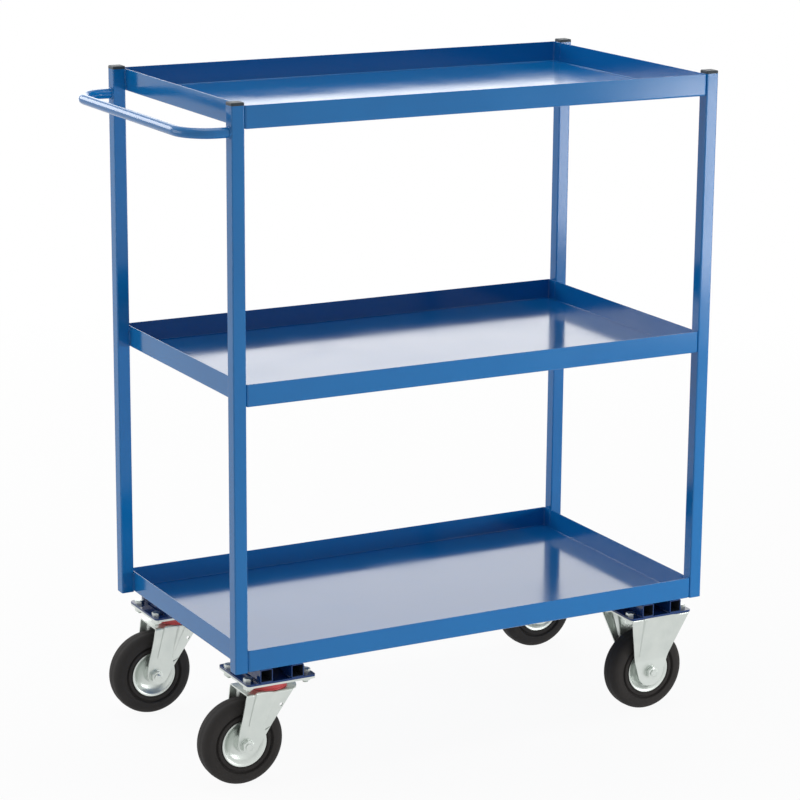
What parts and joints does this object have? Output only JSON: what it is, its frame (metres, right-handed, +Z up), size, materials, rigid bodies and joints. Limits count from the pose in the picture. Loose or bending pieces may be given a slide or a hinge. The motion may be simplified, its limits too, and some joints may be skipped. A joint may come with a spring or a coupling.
{
  "type": "shelf trolley",
  "caption": "Shelf trolley: rimmed sheet-steel trays welded between square-tube posts, a bent-tube push handle at one end, swivel castors under the handle and fixed castors at the other end.",
  "frame": {"origin": "on the floor, below the middle of the trolley's overall box", "axes": "+X from the handle end to the fixed castors, +Y to the pusher's left, +Z up"},
  "size_m": [0.8675, 0.44, 1.012],
  "materials": {
    "blue_paint": "gloss powder coat",
    "zinc_steel": "bright zinc plating",
    "cap_plastic": "moulded, satin",
    "seal_plastic": "moulded, satin",
    "tyre_rubber": "moulded rubber",
    "bush_plastic": "moulded",
    "ball_steel": "polished"
  },
  "bodies": {
    "frame": {"axle_bolt_fixed": "zinc_steel", "axle_nut_fixed": "zinc_steel", "axle_sleeve_fixed_left": "zinc_steel", "axle_sleeve_fixed_right": "zinc_steel", "bottom_tray": "blue_paint", "castor_bolts": "zinc_steel", "castor_nuts": "zinc_steel", "fixed_fork_left": "zinc_steel", "fixed_fork_right": "zinc_steel", "king_nuts": "zinc_steel", "king_pin_left": "zinc_steel", "king_pin_right": "zinc_steel", "middle_tray": "blue_paint", "mounting_plate_fixed_left": "blue_paint", "mounting_plate_fixed_right": "blue_paint", "mounting_plate_swivel_left": "blue_paint", "mounting_plate_swivel_right": "blue_paint", "post_caps": "cap_plastic", "post_front_left": "blue_paint", "post_front_right": "blue_paint", "post_rear_left": "blue_paint", "post_rear_right": "blue_paint", "push_handle": "blue_paint", "risers_fixed_left": "blue_paint", "risers_fixed_right": "blue_paint", "risers_swivel_left": "blue_paint", "risers_swivel_right": "blue_paint", "swivel_balls": "ball_steel", "swivel_plate_left": "zinc_steel", "swivel_plate_right": "zinc_steel", "swivel_seal_left": "seal_plastic", "swivel_seal_right": "seal_plastic", "thrust_washers": "zinc_steel", "top_tray": "blue_paint"},
    "swivel_fork_right": {"swivel_fork_right": "zinc_steel", "axle_bolt_swivel_right": "zinc_steel", "axle_nut_swivel_right": "zinc_steel", "axle_sleeve_swivel_right": "zinc_steel"},
    "swivel_fork_left": {"swivel_fork_left": "zinc_steel", "axle_bolt_swivel_left": "zinc_steel", "axle_nut_swivel_left": "zinc_steel", "axle_sleeve_swivel_left": "zinc_steel"},
    "wheel_swivel_right": {"tyre_swivel_right": "tyre_rubber", "rim_swivel_right": "zinc_steel", "bush_swivel_right": "bush_plastic"},
    "wheel_swivel_left": {"tyre_swivel_left": "tyre_rubber", "rim_swivel_left": "zinc_steel", "bush_swivel_left": "bush_plastic"},
    "wheel_fixed_right": {"tyre_fixed_right": "tyre_rubber", "rim_fixed_right": "zinc_steel", "bush_fixed_right": "bush_plastic"},
    "wheel_fixed_left": {"tyre_fixed_left": "tyre_rubber", "rim_fixed_left": "zinc_steel", "bush_fixed_left": "bush_plastic"}
  },
  "joints": [
    {"name": "swivel_right", "type": "hinge", "parent": "frame", "child": "swivel_fork_right", "pos_m": [-0.29125, -0.167, 0.144], "axis": [0, 0, 1], "continuous": true},
    {"name": "swivel_left", "type": "hinge", "parent": "frame", "child": "swivel_fork_left", "pos_m": [-0.29125, 0.167, 0.144], "axis": [0, 0, 1], "continuous": true},
    {"name": "roll_swivel_right", "type": "hinge", "parent": "swivel_fork_right", "child": "wheel_swivel_right", "pos_m": [-0.33625, -0.167, 0.065], "axis": [0, 1, 0], "continuous": true},
    {"name": "roll_swivel_left", "type": "hinge", "parent": "swivel_fork_left", "child": "wheel_swivel_left", "pos_m": [-0.33625, 0.167, 0.065], "axis": [0, 1, 0], "continuous": true},
    {"name": "roll_fixed_right", "type": "hinge", "parent": "frame", "child": "wheel_fixed_right", "pos_m": [0.36375, -0.167, 0.065], "axis": [0, 1, 0], "continuous": true},
    {"name": "roll_fixed_left", "type": "hinge", "parent": "frame", "child": "wheel_fixed_left", "pos_m": [0.36375, 0.167, 0.065], "axis": [0, 1, 0], "continuous": true}
  ]
}
